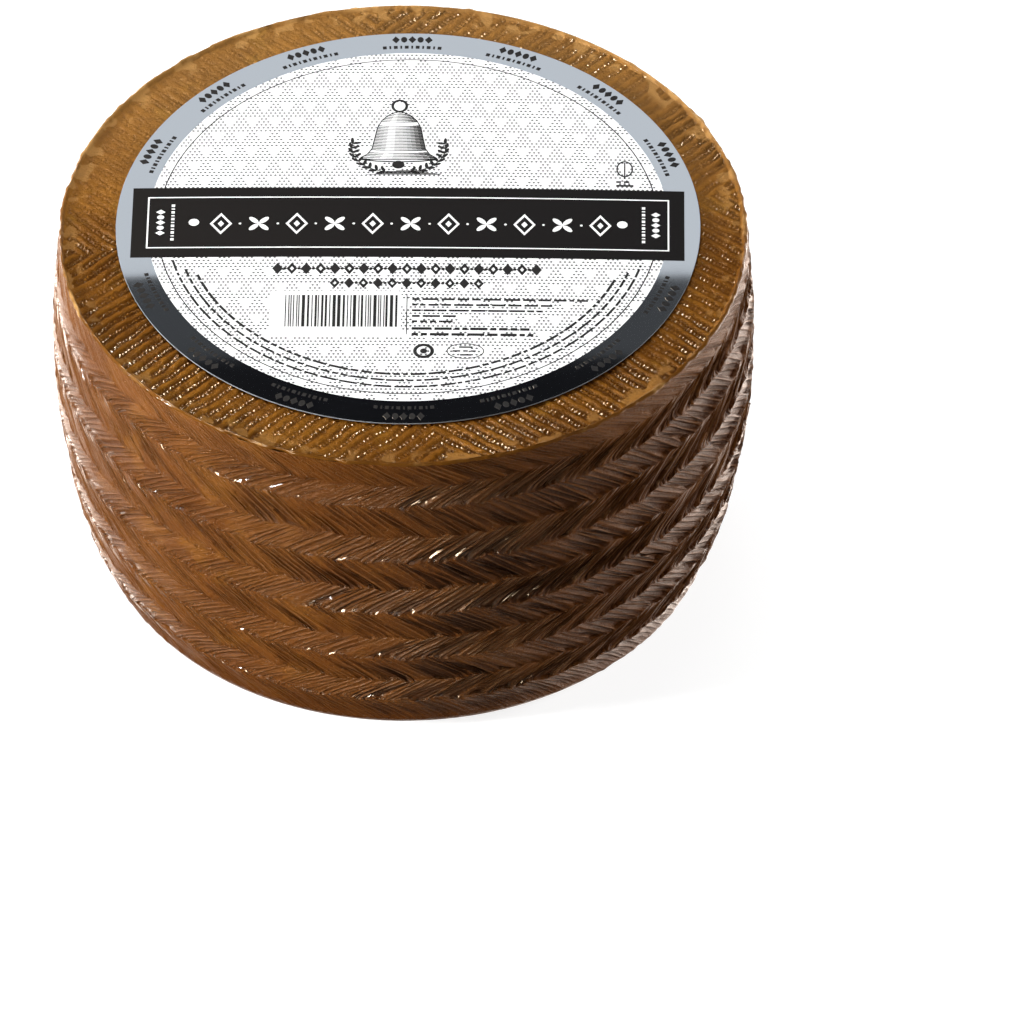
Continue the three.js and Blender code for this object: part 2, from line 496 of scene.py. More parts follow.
def sideFinish():
    f = Finish(bpy.data.materials.new("rind_side_wax"))
    place = f.objectPlace()
    plaitMap = f.node("UVMap", {"uv_map": "plait"})
    u = f.axis(plaitMap, 0)
    v = f.axis(plaitMap, 1)
    hollow = f.attribute("hollow")
    ribbed = f.attribute("ribbed")
    patches = f.speckle(place, 32, 3.0, 0.55)
    grain = f.speckle(place, 1300, 3.0, 0.7)
    pits = f.ease(f.speckle(place, 900, 2.0, 0.7), 0.60, 0.70)
    fibres = f.speckle(f.flatVector(u * 9, v * 2.6), 1.0, 3.0, 0.7)
    # one wave to a strand, wandering a little
    wander = f.speckle(f.flatVector(u * 0.7, v * 1.8), 1.0, 1.0)
    wave = ((u + wander * 0.3 - 0.15) * (2 * pi)).cosine()
    inRow = v.modulo(1.0)
    lowEnd = f.ease(inRow, 0.88, 0.99)
    ridge = f.ease(wave, 0.62, 0.97) * ribbed * (1 - lowEnd) * f.ease(inRow, 0.0, 0.08)
    groove = f.ease(wave * -1, -0.5, 0.4) * ribbed
    # metres to the left of the middle: amber patches of the wax, painted on the lit left side only and
    # less at the far left, as a painted warm glow of the lamp in the wax
    toLeft = f.axis(place, 0) * -1
    paintedGlowSide = f.ease(toLeft, -0.03, 0.08) * (1 - f.ease(toLeft, 0.068, 0.092) * 0.8)
    amber = f.ease(f.speckle(place, 75, 3.0, 0.6), 0.50, 0.66) * paintedGlowSide
    colour = f.mix(f.ease(patches, 0.36, 0.66), sideColours["body"], sideColours["warm"])
    colour = f.mix(f.ease(f.speckle(place, 17, 2.0), 0.48, 0.75) * 0.6, colour, sideColours["deep"])
    colour = f.mix(amber * 0.75, colour, sideColours["amber"])
    colour = f.mix(f.ease(fibres, 0.5, 0.8) * 0.45, colour, sideColours["deep"])
    # painted shade, partly dark wax: darker in the hollows of the imprint and in the grooves between
    # strands
    colour = f.mix(f.ease(hollow, 0.0, 0.9) * 0.75, colour, sideColours["groove"])
    colour = f.mix(groove * 0.8, colour, sideColours["groove"])
    # painted shade at the low end of each row, where it tucks behind the top of the next row
    colour = f.mix(lowEnd * 0.3, colour, sideColours["groove"])
    # painted highlight: paler on the ridges of the strands
    colour = f.mix(ridge * 0.6, colour, sideColours["ridge"])
    # painted shade towards the foot, where the wheel meets the floor
    colour = f.mix(f.ease(v, 9.6, 11.2) * 0.65, colour, sideColours["deep"])      # towards the foot
    smears = f.ease(f.speckle(place, 55, 4.0, 0.65), 0.70, 0.74)
    colour = f.mix(smears * 0.5, colour, sideColours["smear"])
    bump = f.bump(0.9, 0.0009, fibres * 0.35 + grain * 0.45 - pits * 0.25 + ridge * 0.9 - groove * 0.5)
    # wax pooled in short streaks along the seams under the rising rows, on the left of the wheel
    fromSeam = abs((v * 0.5 + 0.5).modulo(1.0) - 0.5)
    streaks = f.speckle(f.flatVector(u * 2.2, v * 1.5), 1.0, 1.0)
    pooled = (1 - f.ease(fromSeam, 0.05, 0.24)) * f.ease(v, 1.0, 1.5) * f.ease(toLeft, -0.05, 0.02)
    pooled = pooled * f.ease(streaks, 0.44, 0.52) * f.ease(f.speckle(place, 420, 1.0), 0.36, 0.46)
    roughness = 0.20 + grain * 0.16 + hollow * 0.2 - pooled * 0.1
    return f.close(Base_Color=colour, Roughness=roughness, Normal=bump,
                   Specular_IOR_Level=0.14, Specular_Tint=sideColours["shine"],
                   Coat_Weight=pooled, Coat_Roughness=0.10, Coat_IOR=1.9)


# Rind of the top face: four fields of ridges with rows of beads between, inside a thin lip

crown = {
    "steps": 1600, "sectors": 20,
    "inner": 75.4,        # radius of the flat middle, which the label hides
    "ringGap": 0.33,
    "seatWidth": 0.2, "seatDrop": 0.4,    # inmost ring, sunk under the label
    "fieldEdges": (11, 97.5, 184, 280),   # degrees, where two fields meet
    "fieldAims": (45, 136, 224, 322),     # degrees, direction of the ridges
    "ridgePitch": 3.65,
    "ridgeTop": 105.95,
    "thinAim": -28,       # degrees, side with thin straight ridges
    "wornAim": 140,       # degrees, side where ridges and beads are worn down
    "stripDepth": 0.5,
    "beadPitch": 1.15, "beadHigh": 0.75,
    "smearFrom": 85.5, "smearFull": 89,   # radii between which smeared wax sets in
    "lipFoot": 91.45,
    "lipCrest": 92.0,
    # over the lip and back under the face: radius, height, run (0 top, 1 edge, 2 hidden)
    "lipProfile": ((92.0, 107, 0), (92.25, 106.93, 1), (92.5, 106.75, 1), (92.68, 106.45, 1),
                   (92.7, 106.1, 1), (92.3, 105.85, 1), (91.0, 105.5, 1), (88.0, 104.7, 2),
                   (75.4, 104.7, 2)),
}


# how far the wavy lip stays below the wheel's full height, as in the solids
def lipDrop(angle):
    return 0.16 + 0.16 * waviness(angle, 1.1)


# height in mm of the top face, how hollow it is, where it is beaded, where it is lip, where it is smeared
def crownHeight(x, y):
    radius = np.hypot(x, y)
    angle = np.degrees(np.arctan2(y, x))
    points = np.column_stack([x, y, np.zeros_like(x)])
    wobble = lumps(points, 9, 1.0, 2)
    turned = np.mod(angle + 2.5 * wobble - crown["fieldEdges"][0], 360)
    edges = [edge - crown["fieldEdges"][0] for edge in crown["fieldEdges"][1:]]
    field = np.digitize(turned, edges)
    aim = np.radians(np.array(crown["fieldAims"]))[field]
    across = -x * np.sin(aim) + y * np.cos(aim)
    along = x * np.cos(aim) + y * np.sin(aim)
    phase = across / crown["ridgePitch"] + 0.13 * wobble
    offRidge = np.abs(phase - np.round(phase))                      # 0 on a ridge, 0.5 between two
    thin = smooth(np.cos(np.radians(angle - crown["thinAim"])), 0.55, 0.85)
    ragged = lumps(points, 1.5, 31.0, 2)
    band = 1 - smooth(offRidge + 0.04 * ragged, 0.16 - 0.06 * thin, 0.31 - 0.07 * thin)
    band = band * (0.6 + 0.4 * smooth(lumps(points, 3, 21.0, 2), -0.7, 0.2))
    # beads stand in one wavering row between two ridges
    between = np.floor(phase)
    toRow = (phase - between - 0.5) * crown["ridgePitch"] + 0.25 * lumps(points, 2.4, 41.0)
    place = along / crown["beadPitch"] + 0.35 * wobble + 0.15 * ragged + uneven(between, field)
    bead = np.floor(place)
    toBead = (place - bead - 0.5) * crown["beadPitch"]
    size = 0.7 + 0.5 * uneven(bead, between + 0.5)
    beads = 1 - smooth(np.hypot(1.25 * toBead, toRow), 0.1 * size, 0.74 * size)
    beads = beads * (0.35 + 0.85 * uneven(bead, between)) * (1 - band)
    vigour = 0.65 + 0.5 * smooth(lumps(points, 22, 7.0, 2), -0.3, 0.3)
    vigour = vigour * (1 - 0.5 * smooth(np.cos(np.radians(angle - crown["wornAim"])), 0.65, 0.8))
    strip = 1 - band
    relief = vigour * (crown["stripDepth"] * strip - crown["beadHigh"] * beads)
    level = crown["ridgeTop"] - relief + 0.05 * ragged
    smear = smooth(radius, crown["smearFrom"], crown["smearFull"])
    smear = smear * smooth(lumps(points, 3.2, 13.0, 2), 0.3, 0.6)
    level = level + (crown["ridgeTop"] - 0.1 - level) * smear
    # the lip stands on an uneven line
    foot = crown["lipFoot"] + 0.25 * lumps(points, 4, 11.0, 2)
    rise = smooth(radius, foot - 0.3, foot + 0.4)
    level = level + (wheelHeight - lipDrop(np.radians(angle)) - level) * rise
    beaded = vigour * strip * (1 - rise) * (1 - smear)
    return level, beaded * np.clip(1 - 0.9 * beads, 0, 1), beaded, rise, smear


def makeCrown(material):
    rings = np.arange(crown["inner"], crown["lipCrest"], crown["ringGap"])
    chain = [*((ring, crown["ridgeTop"], 0) for ring in rings), *crown["lipProfile"]]
    piece = finishPiece(spinSkin(chain, crown["steps"], crown["sectors"]), "rind_top", material)
    mesh = piece.data
    points = readPoints(mesh)
    run = readRun(mesh)
    x, y, z = points.T
    angle = np.arctan2(y, x)
    onTop = run < 0.5
    onEdge = (run > 0.5) & (run < 1.5)
    seat = onTop & (np.hypot(x, y) < crown["inner"] + crown["seatWidth"])
    level, hollow, beaded, rise, smear = crownHeight(x, y)
    newZ = np.where(onTop, level, np.where(onEdge, z - lipDrop(angle), z))
    newZ = np.where(seat, crown["ridgeTop"] - crown["seatDrop"], newZ)
    wander = 0.25 * waviness(angle, 2.3) + 0.3 * lumps(points, 3.5, 17.0, 2) - 0.2
    spread = 1 + np.where(onEdge, wander / crown["lipCrest"], 0)
    writePoints(mesh, np.column_stack([x * spread, y * spread, newZ]))
    # the finish paints shade from hollow
    addAttribute(mesh, "hollow", np.where(onTop & ~seat, hollow, 0))
    addAttribute(mesh, "beaded", np.where(onTop & ~seat, beaded, 0))
    addAttribute(mesh, "lip", np.where(onTop, rise, onEdge))
    addAttribute(mesh, "smear", np.where(onTop, smear, 0))
    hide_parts("wheel")


crownColours = {
    "amber": (0.186, 0.072, 0.0085),
    "brown": (0.126, 0.045, 0.0052),
    # painted shade in the sunken strips between beads and in small dents
    "pit": (0.064, 0.021, 0.0024),
    # paler wax where smeared or rubbed, and painted light towards the back
    "tan": (0.430, 0.245, 0.085),
    "olive": (0.215, 0.106, 0.012),
    # painted shade on the lip towards the front
    "edge": (0.085, 0.031, 0.0045),
    "shine": (1.0, 0.82, 0.60),
}


def crownFinish():
    f = Finish(bpy.data.materials.new("rind_top_wax"))
    place = f.objectPlace()
    hollow = f.attribute("hollow")
    beaded = f.attribute("beaded")
    lip = f.attribute("lip")
    smear = f.attribute("smear")
    patches = f.speckle(place, 45, 3.0, 0.6)
    grain = f.speckle(place, 900, 2.0, 0.6)
    dots = f.speckle(place, 620, 3.0, 0.75)
    crumbs = f.speckle(place, 1500, 2.0, 0.6)
    toRight = f.axis(place, 0)
    toBack = f.axis(place, 1)
    back = f.ease(toBack, -0.02, 0.07)
    colour = f.mix(f.ease(patches, 0.38, 0.66), crownColours["brown"], crownColours["amber"])
    colour = f.mix(f.ease(f.speckle(place, 70, 2.0), 0.6, 0.75) * 0.5, colour, crownColours["olive"])
    # painted shade: darker in the sunken strips between the beads and in the small dents of the bump
    colour = f.mix(hollow * 0.8, colour, crownColours["pit"])
    colour = f.mix(f.ease(dots, 0.53, 0.64) * 0.6, colour, crownColours["pit"])
    # paler towards the back, partly the wax's own tone and partly painted light where the back of the top
    # is more strongly lit; also paler where the wax is smeared or rubbed off the lip
    colour = f.mix(back * 0.22, colour, crownColours["tan"])
    # painted shade: the lip and its outer face darker towards the front
    colour = f.mix(lip * (0.75 - back * 0.75), colour, crownColours["edge"])
    rubbed = f.ease(f.speckle(place, 60, 3.0, 0.6) + back * 0.08, 0.58, 0.70)
    colour = f.mix(smear * (0.2 + 0.2 * back), colour, crownColours["tan"])
    colour = f.mix(lip * (0.25 * back + 0.7 * rubbed), colour, crownColours["tan"])
    bump = f.bump(0.7, 0.0007, grain * 0.3 - dots * 0.5 + crumbs * (0.15 + beaded * 0.7))
    # thick wax shines on the lip and on patches of beads, but not at the far left
    glaze = lip * f.ease(f.speckle(place, 130, 2.0), 0.40, 0.55) * (1 - back)
    farLeft = f.ease(toRight * -1, 0.0, 0.03) * f.ease(toBack, -0.008, 0.004)
    sparkle = (beaded - hollow) * f.ease(f.speckle(place, 34, 2.0), 0.40, 0.55) * (1 - farLeft)
    return f.close(Base_Color=colour, Roughness=0.13 + grain * 0.10, Normal=bump,
                   Specular_IOR_Level=0.015, Specular_Tint=crownColours["shine"],
                   Coat_Weight=glaze * 0.35 + sparkle, Coat_Roughness=0.08, Coat_IOR=1.48)


# Rind of the underside: the same ridges and beads, pressed flat where the wheel stands

underside = {
    "radius": 76, "innerRadius": 75.8,    # at the face, and inside the wheel
    "steps": 900, "sectors": 20, "ringGap": 0.9,
    "thickness": 1.3,
    "deepest": 0.9,
    "flatFrom": 74, "flatAt": 75.6,       # the relief runs out between these radii
}


def makeUnderside(material):
    rings = np.arange(0, underside["radius"], underside["ringGap"])
    thickness = underside["thickness"]
    chain = [(ring, 0, 0) for ring in rings]
    chain += [(underside["radius"], 0, 1), (underside["innerRadius"], thickness, 1), (0, thickness, 1)]
    bm = spinSkin(chain, underside["steps"], underside["sectors"])
    piece = finishPiece(bm, "rind_underside", material)
    mesh = piece.data
    points = readPoints(mesh)
    x, y, z = points.T
    onFace = readRun(mesh) < 0.5
    level, hollow, beaded, rise, smear = crownHeight(-x, y)
    inside = onFace * (1 - smooth(np.hypot(x, y), underside["flatFrom"], underside["flatAt"]))
    relief = np.clip(crown["ridgeTop"] + 0.05 - level, 0, underside["deepest"]) * inside
    writePoints(mesh, np.column_stack([x, y, np.where(onFace, relief, z)]))
    # the finish paints shade from hollow here too
    addAttribute(mesh, "hollow", hollow * inside)
    addAttribute(mesh, "beaded", beaded * inside)
    addAttribute(mesh, "lip", np.zeros(len(points)))
    addAttribute(mesh, "smear", smear * inside)
    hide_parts("wheel")


print("rind")
sideMaterial = sideFinish()
crownMaterial = crownFinish()
makeSide(sideMaterial)
makeCrown(crownMaterial)
makeUnderside(crownMaterial)


# Label: thin disc with a foil ring, white dotted field and dark band, all sizes in mm

label = {
    "rings": 24, "steps": 240, "sectors": 12,
    "thickness": 0.3, "softEdge": 0.05,
    "dome": 0.9,          # middle above the edge
    "sharpFrom": 40,      # degrees between faces
    "turn": -0.5,         # degrees, the print sits a little askew
    "ringInner": 70.1,
    "rimWidth": 0.06,     # cut edge of the paper
    "circle": 67.3, "circleWidth": 0.36,
    "bandHalfLength": 74.3, "bandHalfHeight": 14.0,
    "frameHalfLength": 70.2, "frameHalfHeight": 10.3, "frameWidth": 0.42,
    "spot": 57.6, "spotRadius": 1.4,
    "dotPitch": 1.225, "dotRadius": 0.35,
    "dotRows": 5,         # to a line of triangles
}
labelColours = {
    "paper": (0.80, 0.80, 0.80), "dot": (0.12, 0.12, 0.125),
    "ink": (0.012, 0.012, 0.013), "band": (0.0065, 0.0065, 0.0072),
    "white": (0.80, 0.80, 0.80), "foil": (0.66, 0.72, 0.79), "rim": (0.20, 0.21, 0.22),
}


def labelFinish():
    f = Finish(bpy.data.materials.new("label_print"))
    place = f.objectPlace()
    centred = f.node("Mapping", {"vector_type": "TEXTURE"},
                     {0: place, 1: (*labelCentre, 0.0), 2: (0.0, 0.0, radians(label["turn"]))})
    x = f.axis(centred, 0) * (1 / mm)
    y = f.axis(centred, 1) * (1 / mm)
    radius = (x * x + y * y) ** 0.5
    # staggered dots; a new line of triangles starts half a triangle along
    pitch, rows = label["dotPitch"], label["dotRows"]
    line = (y / pitch).floor()
    fromLine = y / pitch - line - 0.5
    stagger = (1 - line.modulo(2)) * 0.5
    column = (x / pitch + stagger).floor()
    fromColumn = x / pitch + stagger - column - 0.5
    dots = (fromLine * fromLine + fromColumn * fromColumn).below((label["dotRadius"] / pitch) ** 2)
    step = rows - 1 - line.modulo(rows)
    along = (column + 0.5 - stagger) / rows + (line / rows).floor() * 0.5
    fromMiddle = abs(along - along.floor() - 0.5) * rows
    dots = dots * fromMiddle.below(step * 0.5 + 1.05)
    circle = abs(radius - label["circle"]).below(label["circleWidth"] / 2)
    inBand = abs(x).below(label["bandHalfLength"]) * abs(y).below(label["bandHalfHeight"])
    outerFrame = abs(x).below(label["frameHalfLength"]) * abs(y).below(label["frameHalfHeight"])
    innerFrame = (abs(x).below(label["frameHalfLength"] - label["frameWidth"])
                  * abs(y).below(label["frameHalfHeight"] - label["frameWidth"]))
    spotX = abs(x) - label["spot"]
    spots = (spotX * spotX + y * y).below(label["spotRadius"] ** 2)
    whiteInBand = (outerFrame - innerFrame) + spots
    rim = labelRadius - label["rimWidth"]
    foil = radius.above(label["ringInner"]) * radius.below(rim) * (1 - inBand)
    colour = f.mix(dots, labelColours["paper"], labelColours["dot"])
    colour = f.mix(circle, colour, labelColours["ink"])
    colour = f.mix(foil, colour, labelColours["foil"])
    colour = f.mix(radius.above(rim), colour, labelColours["rim"])
    colour = f.mix(inBand, colour, labelColours["band"])
    colour = f.mix(whiteInBand, colour, labelColours["white"])
    roughness = 0.42 - foil * 0.40 + foil * f.speckle(place, 60, 3.0, 0.6) * 0.03
    ripple = f.bump(0.12, 0.002, f.speckle(place, 14, 1.0))
    return f.close(Base_Color=colour, Roughness=roughness, Metallic=foil, Normal=ripple,
                   Specular_IOR_Level=0.02)


# top of the label at a distance from its middle
def labelTop(radius):
    return labelHigh.z / mm + label["dome"] * (1 - (radius / labelRadius) ** 2)


def makeLabel(material):
    rings = np.linspace(0, labelRadius - label["softEdge"], label["rings"])
    chain = [(ring, labelTop(ring), 0) for ring in rings]
    chain += [(labelRadius, labelTop(labelRadius) - label["softEdge"], 0)]
    chain += [(ring, labelTop(ring) - label["thickness"], 1) for ring in (labelRadius, labelRadius / 2, 0)]
    bm = spinSkin(chain, label["steps"], label["sectors"])
    bmesh.ops.translate(bm, verts=bm.verts, vec=(*labelCentre, 0))
    piece = finishPiece(bm, "label_disc", material)
    piece.data.set_sharp_from_angle(angle=radians(label["sharpFrom"]))
    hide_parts("label")


# Print on the label: thin raised shapes, laid out flat round the label's middle, then seated on it

ink = {
    "thickness": 0.06,
    "longestCut": 6,          # mm, a bar is cut so that it can follow the dome
    "roundCorners": 28,
    # dashes: shortest, how much longer one may be, gap, and what is left bare at the end of a row
    "dashes": (1.2, 4.2, 0.75, 0.6),
}


# unit shape to its place: middle, width, height and turn in degrees
def spot(x, y, wide, high, turn=0.0):
    turned = Matrix.Translation((x, y, 0)) @ Matrix.Rotation(radians(turn), 4, "Z")
    return turned @ Matrix.Diagonal((wide, high, 1, 1))


def bar(bm, x, y, wide, high, turn=0.0):
    cuts = [1 + int(size / ink["longestCut"]) for size in (wide, high)]
    bmesh.ops.create_grid(bm, x_segments=cuts[0], y_segments=cuts[1], size=0.5,
                          matrix=spot(x, y, wide, high, turn))


def stroke(bm, path, width):
    for (x0, y0), (x1, y1) in zip(path, path[1:]):
        length = np.hypot(x1 - x0, y1 - y0) + 0.3 * width
        bar(bm, (x0 + x1) / 2, (y0 + y1) / 2, length, width, np.degrees(np.arctan2(y1 - y0, x1 - x0)))


# filled shape with so many corners: 4 is a lozenge, 28 a round spot
def blot(bm, x, y, wide, high, turn=0.0, corners=ink["roundCorners"]):
    return bmesh.ops.create_circle(bm, cap_ends=True, segments=corners, radius=0.5,
                                   matrix=spot(x, y, wide, high, turn))


# outline of the same shape
def hoop(bm, x, y, wide, high, line, turn=0.0, corners=ink["roundCorners"]):
    face = blot(bm, x, y, wide, high, turn, corners)["verts"][0].link_faces[0]
    bmesh.ops.inset_region(bm, faces=[face], thickness=line, use_even_offset=True, use_boundary=True)
    bmesh.ops.delete(bm, geom=[face], context="FACES_ONLY")


# row of plain dashes of uneven length, along a line or round an arc
def fillRow(bm, start, end, high, seed, at):
    shortest, longer, gap, bare = ink["dashes"]
    place, n = start, 0
    while place < end - bare:
        length = min(shortest + longer * float(uneven(n, seed)), end - place)
        x, y, turn = at(place + length / 2)
        bar(bm, x, y, length, high, turn)
        place += length + gap
        n += 1


def fillLine(bm, x0, x1, y, high, seed):
    fillRow(bm, x0, x1, high, seed, lambda place: (place, y, 0.0))


def fillArc(bm, radius, start, end, high, seed):
    def at(place):
        angle = radians(start) + place / radius
        return radius * cos(angle), radius * sin(angle), np.degrees(angle) + 90
    fillRow(bm, 0, radians(end - start) * radius, high, seed, at)


bell = {
    "x": -3.0, "y": 25.5,     # middle of the mouth
    # half width at each height above the mouth
    "heights": (0, 0.9, 2.2, 4.5, 9.0, 13.0, 16.0, 18.0, 19.2, 19.8),
    "halves": (10.4, 10.0, 8.4, 7.2, 6.5, 5.9, 4.8, 3.3, 1.8, 0.4),
    "plainBands": ((3.0, 3.9), (14.4, 15.2)),
    "linePitch": 0.62, "pieces": 12,      # engraved lines, each of so many pieces
    "sprigReach": 11.2, "leafReach": 1.15,
}


# engraved hanging bell: lines that swell where it is dark, an outline, a ring and a clapper
def engraveBell(bm):
    x0, y0, pieces = bell["x"], bell["y"], bell["pieces"]
    for y in np.arange(0.3, 19.6, bell["linePitch"]):
        half = np.interp(y, bell["heights"], bell["halves"])
        if any(low < y < high for low, high in bell["plainBands"]):
            continue
        for i in range(pieces):
            u = -1 + (2 * i + 1) / pieces
            shade = 0.30 + 0.62 * max(u, 0) ** 1.5 + 0.35 * max(-u - 0.55, 0)
            shade += 0.10 * float(uneven(i, y)) - 0.28 * max(0, 1 - abs(u + 0.35) * 4)
            high = bell["linePitch"] * min(max(shade, 0.12), 0.85)
            bar(bm, x0 + u * half, y0 + y - 0.35 * (1 - u * u), 2.02 * half / pieces, high)
    outline = [(x0 + side * half, y0 + y) for side in (-1, 1)
               for y, half in list(zip(bell["heights"], bell["halves"]))[::side]]
    stroke(bm, outline, 0.3)
    mouth = ((-10.4, 0), (-6, -0.7), (0, -1.0), (6, -0.7), (10.4, 0))
    stroke(bm, [(x0 + x, y0 + y) for x, y in mouth], 0.45)
    hoop(bm, x0, y0 + 22.2, 4.6, 5.4, 0.75)
    blot(bm, x0, y0 - 2.1, 3.4, 3.2)


# two leafy sprigs that rise on both sides of the bell, and the lines where they cross
def engraveSprigs(bm):
    x0, y0 = bell["x"], bell["y"]
    for side in (-1, 1):
        stem = [(x0 + side * (1.5 + bell["sprigReach"] * sin(t)), y0 - 5.2 + 10 * (1 - cos(t)))
                for t in np.linspace(0, 1.75, 10)]
        stroke(bm, stem, 0.26)
        for n, (x, y) in enumerate(stem[1:]):
            for out in (-1, 1):
                turn = 25 + 13 * n + 42 * out
                leafX = x + side * bell["leafReach"] * cos(radians(turn))
                leafY = y + bell["leafReach"] * sin(radians(turn))
                blot(bm, leafX, leafY, 2.5, 0.95, turn if side > 0 else 180 - turn, 8)
    for n in range(7):
        bar(bm, x0 + 2.2 * float(uneven(n, 4)) + 1, y0 - 6.1 + 0.26 * n, 20 - 2.1 * n, 0.16)


# white ground of the bell, which hides the dots
def bellPaper(bm):
    for y in np.arange(-0.5, 20.0, 1.0):
        half = np.interp(y, bell["heights"], bell["halves"])
        bar(bm, bell["x"], bell["y"] + y, 2 * half + 0.6, 1.0)


foilRing = {
    "marks": 16,              # places round the foil, two of which the band covers
    "lozengeRadius": 75.9, "lozengePitch": 2.25,
    "barRadius": 72.7, "barPitch": 1.5,
}


# mark on the foil ring: a row of lozenges and ovals over a row of small bars
def ringMark(bm, angle):
    def at(along, radius):
        a = radians(angle) - along / radius
        return radius * cos(a), radius * sin(a), np.degrees(a) - 90
    for n in range(-2, 3):
        x, y, turn = at(n * foilRing["lozengePitch"], foilRing["lozengeRadius"])
        if n % 2:
            blot(bm, x, y, 1.7, 2.3, turn, 20)
        else:
            blot(bm, x, y, 2.1, 2.9, turn, 4)
    for n in range(-5, 6):
        x, y, turn = at(n * foilRing["barPitch"], foilRing["barRadius"])
        bar(bm, x, y, 1.05 if n % 2 else 0.5, 1.15, turn)


belowBand = {
    "ornamentPitch": 3.85,
    # y, marks each way, width, height, line of the open marks, dot between, 0 if even ones are open
    "ornaments": ((-18.6, 9, 2.9, 4.6, 0.75, 0.95, 0), (-24.3, 5, 2.7, 4.2, 0.7, 0.9, 1)),
    "stripesFrom": -32.3, "stripesTo": -2.6, "stripesY": -35.3, "stripesHigh": 12.4,
    "stripeWidths": (0.28, 0.28, 0.56, 0.84), "stripeGaps": (0.28, 0.42, 0.6),
    "rule": (0.2, -36.8, 0.22, 15.2),     # x, y, width, height
    "stripesGround": (-18.8, -36.3, 35.0, 17.4),
    "ringedDot": (4.9, -50.8), "oval": (16.0, -50.7),
    "dashesFrom": 1.6,
    # right end, y and height of each row of dashes
    "dashes": ((48.5, -30.6, 0.72), (39.0, -32.8, 0.72), (36.5, -35.0, 0.72), (14.5, -37.2, 0.72),
               (12.5, -39.3, 0.72), (33.0, -42.1, 0.95), (34.0, -44.3, 0.95)),
    # both ends, y and unevenness of the dashes in the oval
    "ovalDashes": ((14.3, 17.9, -49.2, 3.3), (12.6, 19.6, -50.7, 8.1), (14.6, 17.6, -52.2, 5.2)),
    # radius, first and last degree, and height of each curved row of dashes
    "arcs": ((64.6, 193.5, 345.5, 0.66), (62.2, 197.5, 342.0, 0.66), (59.8, 200.5, 338.5, 0.75)),
}


# print below the band
def lowerPrint(bm):
    pitch = belowBand["ornamentPitch"]
    for y, each, wide, high, line, dot, openOnes in belowBand["ornaments"]:
        for n in range(-each, each + 1):
            if n % 2 == openOnes:
                hoop(bm, n * pitch, y, wide, high, line, corners=4)
            else:
                blot(bm, n * pitch, y, wide, high, corners=4)
            if n < each:
                blot(bm, (n + 0.5) * pitch, y, dot, dot)
    x, n = belowBand["stripesFrom"], 0
    while x < belowBand["stripesTo"]:
        wide = belowBand["stripeWidths"][int(4 * uneven(n, 2.2))]
        bar(bm, x + wide / 2, belowBand["stripesY"], wide, belowBand["stripesHigh"])
        x += wide + belowBand["stripeGaps"][int(3 * uneven(n, 5.5))]
        n += 1
    bar(bm, *belowBand["rule"])
    for n, (end, y, high) in enumerate(belowBand["dashes"]):
        fillLine(bm, belowBand["dashesFrom"], end, y, high, n + 1.0)
    hoop(bm, *belowBand["ringedDot"], 5.6, 5.6, 0.95)
    blot(bm, *belowBand["ringedDot"], 1.9, 1.9)
    hoop(bm, *belowBand["oval"], 10.0, 6.0, 0.26)
    for start, end, y, seed in belowBand["ovalDashes"]:
        fillLine(bm, start, end, y, 0.55, seed)
    for n, (radius, start, end, high) in enumerate(belowBand["arcs"]):
        fillArc(bm, radius, start, end, high, n + 11.0)


def darkPrint(bm):
    for k in range(foilRing["marks"]):
        if k % (foilRing["marks"] // 2):
            ringMark(bm, 360 / foilRing["marks"] * k)
    lowerPrint(bm)
    hoop(bm, 58.2, 22.6, 4.6, 6.6, 0.42, 0, 20)          # small leaf on its stalk over two rows of dashes
    stroke(bm, [(58.2, 25.2), (58.2, 18.6)], 0.36)
    fillLine(bm, 55.9, 60.6, 17.3, 0.7, 2.0)
    fillLine(bm, 55.9, 60.6, 15.8, 0.7, 9.0)
    engraveBell(bm)
    engraveSprigs(bm)


def whitePrint(bm):
    bar(bm, *belowBand["stripesGround"])
    bellPaper(bm)


band = {
    "x": 0.7, "y": -0.6, "pitch": 10.2,
    "petalReach": 1.95,
    "endX": 66.6, "endPitch": 2.1,        # upright marks at both ends
    "endBarX": 63.3, "endBarPitch": 1.35,
}


def bandPrint(bm):
    y = band["y"]
    for n in range(-5, 6):                               # row of lozenges, crosses and dots
        x = band["x"] + n * band["pitch"]
        if n % 2:
            hoop(bm, x, y, 6.0, 8.6, 0.62, corners=4)
            blot(bm, x, y, 1.7, 2.5, 0, 4)
        else:
            for turn in (45, 135, 225, 315):
                outX = band["petalReach"] * cos(radians(turn))
                outY = band["petalReach"] * sin(radians(turn))
                blot(bm, x + outX, y + outY, 3.3, 1.5, turn, 16)
            blot(bm, x, y, 0.9, 0.9)
        if n < 5:
            blot(bm, x + band["pitch"] / 2, y, 0.7, 0.7, 0, 12)
    for side in (-1, 1):
        for n in range(-2, 3):
            if n % 2:
                blot(bm, side * band["endX"], n * band["endPitch"], 1.9, 1.6, 0, 20)
            else:
                blot(bm, side * band["endX"], n * band["endPitch"], 2.5, 1.9, 0, 4)
        for n in range(-5, 6):
            bar(bm, side * band["endBarX"], n * band["endBarPitch"], 0.9, 0.95 if n % 2 else 0.45)


